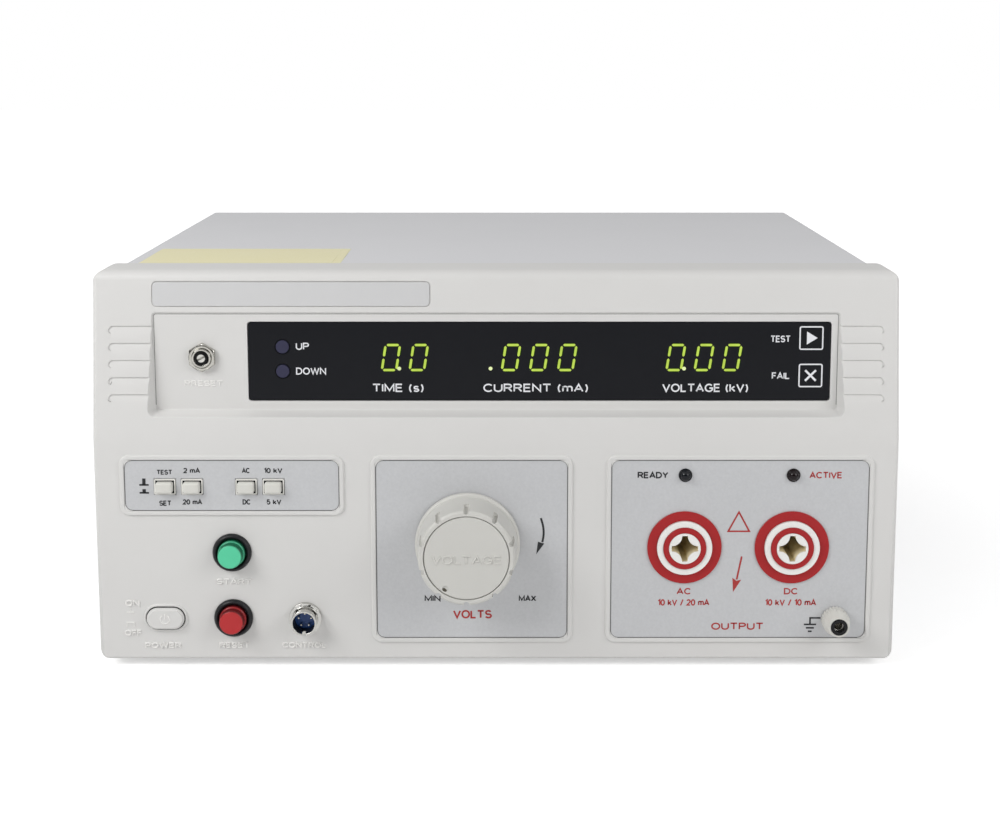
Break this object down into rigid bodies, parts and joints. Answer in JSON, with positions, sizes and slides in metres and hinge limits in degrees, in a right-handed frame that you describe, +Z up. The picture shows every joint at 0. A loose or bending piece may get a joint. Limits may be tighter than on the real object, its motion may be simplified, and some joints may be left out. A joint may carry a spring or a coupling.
{
  "type": "high-voltage insulation tester",
  "caption": "Bench high-voltage insulation tester: plastic bezel with a wedge display recess, push buttons, voltage knob, output sockets and earth post on a sheet-metal case.",
  "frame": {"origin": "on the floor, below the middle of the whole box", "axes": "+X to the right seen from the front, -Y out of the front panel, +Z up"},
  "size_m": [0.376, 0.317, 0.1889],
  "materials": {
    "bezel_plastic": "fine moulded texture, warm light grey",
    "cover_paint": "light grey powder coat",
    "zinc_steel": "zinc plated sheet",
    "foot_rubber": "matte black",
    "window_acrylic": "smoked acrylic",
    "label_sheet": "satin printed sheet",
    "circuit_board": "solder mask",
    "module_plastic": "dark grey moulding",
    "signal_red": "red light box",
    "key_plastic": "dark violet key",
    "plated_brass": "nickel plated",
    "shaft_plastic": "ivory moulding",
    "button_plastic": "ivory button",
    "black_plastic": "black moulding",
    "green_cap": "translucent green",
    "red_cap": "translucent red",
    "socket_chrome": "bright plated barrel",
    "blue_insert": "blue insulating insert",
    "gold_pin": "gold plated pin",
    "knob_plastic": "satin light grey knob",
    "shaft_steel": "turned steel",
    "copper_wire": "enamelled copper",
    "core_iron": "varnished laminations",
    "coil_tape": "taped winding",
    "ring_red": "red insulator ring",
    "insulator_white": "white insulator",
    "contact_brass": "bare brass",
    "ivory_nut": "ivory ribbed nut",
    "lamp_blue": "dark unlit lens",
    "lamp_red": "dark unlit lens"
  },
  "bodies": {
    "housing": {"front_bezel": "bezel_plastic", "front_subpanel": "zinc_steel", "base_chassis": "zinc_steel", "top_cover": "cover_paint", "rear_panel": "cover_paint", "rubber_feet": "foot_rubber", "case_screws": "zinc_steel", "display_window": "window_acrylic", "name_strip": "label_sheet", "switch_label": "label_sheet", "regulator_label": "label_sheet", "output_label": "label_sheet", "display_board": "circuit_board", "digit_modules": "module_plastic", "signal_lights": "signal_red", "preset_body": "module_plastic", "preset_nut": "plated_brass", "latch_bodies": "button_plastic", "start_switch": "black_plastic", "reset_switch": "black_plastic", "power_switch": "module_plastic", "control_shell": "socket_chrome", "control_insert": "blue_insert", "control_pins": "gold_pin", "variac_winding": "copper_wire", "variac_base": "core_iron", "ac_rings": "ring_red", "ac_insulators": "insulator_white", "ac_contact": "contact_brass", "dc_rings": "ring_red", "dc_insulators": "insulator_white", "dc_contact": "contact_brass", "earth_stud": "contact_brass", "safety_lamp": "lamp_blue", "danger_lamp": "lamp_red", "transformer_core": "core_iron", "transformer_coil": "coil_tape", "control_board": "circuit_board", "control_parts": "module_plastic", "rectifier_block": "black_plastic", "inlet_housing": "black_plastic", "inlet_pins": "plated_brass"},
    "knob": {"regulator_knob": "knob_plastic", "knob_cap": "knob_plastic", "variac_shaft": "shaft_steel", "variac_arm": "contact_brass"},
    "preset": {"preset_shaft": "shaft_plastic"},
    "latch_1": {"latch_button_1": "button_plastic"},
    "latch_2": {"latch_button_2": "button_plastic"},
    "latch_3": {"latch_button_3": "button_plastic"},
    "latch_4": {"latch_button_4": "button_plastic"},
    "power": {"power_button": "bezel_plastic"},
    "start": {"start_cap": "green_cap"},
    "reset": {"reset_cap": "red_cap"},
    "key_up": {"up_key": "key_plastic"},
    "key_down": {"down_key": "key_plastic"},
    "earth": {"earth_nut": "ivory_nut", "earth_cap": "black_plastic"},
    "drawer": {"fuse_drawer": "black_plastic"}
  },
  "joints": [
    {"name": "knob_turn", "type": "hinge", "parent": "housing", "child": "knob", "pos_m": [-0.01335, -0.13555, 0.06095], "axis": [0, 1, 0], "range_deg": [0, 300]},
    {"name": "preset_turn", "type": "hinge", "parent": "housing", "child": "preset", "pos_m": [-0.13715, -0.13555, 0.1482], "axis": [0, 1, 0], "range_deg": [-150, 150]},
    {"name": "latch_1_press", "type": "slide", "parent": "housing", "child": "latch_1", "axis": [0, 1, 0], "range_m": [0, 0.003]},
    {"name": "latch_2_press", "type": "slide", "parent": "housing", "child": "latch_2", "axis": [0, 1, 0], "range_m": [0, 0.003]},
    {"name": "latch_3_press", "type": "slide", "parent": "housing", "child": "latch_3", "axis": [0, 1, 0], "range_m": [0, 0.003]},
    {"name": "latch_4_press", "type": "slide", "parent": "housing", "child": "latch_4", "axis": [0, 1, 0], "range_m": [0, 0.003]},
    {"name": "power_press", "type": "slide", "parent": "housing", "child": "power", "axis": [0, 1, 0], "range_m": [0, 0.002]},
    {"name": "start_press", "type": "slide", "parent": "housing", "child": "start", "axis": [0, 1, 0], "range_m": [0, 0.003], "stiffness_N_per_m": 400, "springref_m": -0.004},
    {"name": "reset_press", "type": "slide", "parent": "housing", "child": "reset", "axis": [0, 1, 0], "range_m": [0, 0.003], "stiffness_N_per_m": 400, "springref_m": -0.004},
    {"name": "up_press", "type": "slide", "parent": "housing", "child": "key_up", "axis": [0, 1, 0], "range_m": [0, 0.0004], "stiffness_N_per_m": 1500, "springref_m": -0.0008},
    {"name": "down_press", "type": "slide", "parent": "housing", "child": "key_down", "axis": [0, 1, 0], "range_m": [0, 0.0004], "stiffness_N_per_m": 1500, "springref_m": -0.0008},
    {"name": "earth_turn", "type": "hinge", "parent": "housing", "child": "earth", "pos_m": [0.15985, -0.13555, 0.02375], "axis": [0, -1, 0], "range_deg": [0, 720]},
    {"name": "drawer_pull", "type": "slide", "parent": "housing", "child": "drawer", "axis": [0, 1, 0], "range_m": [0, 0.018]}
  ]
}
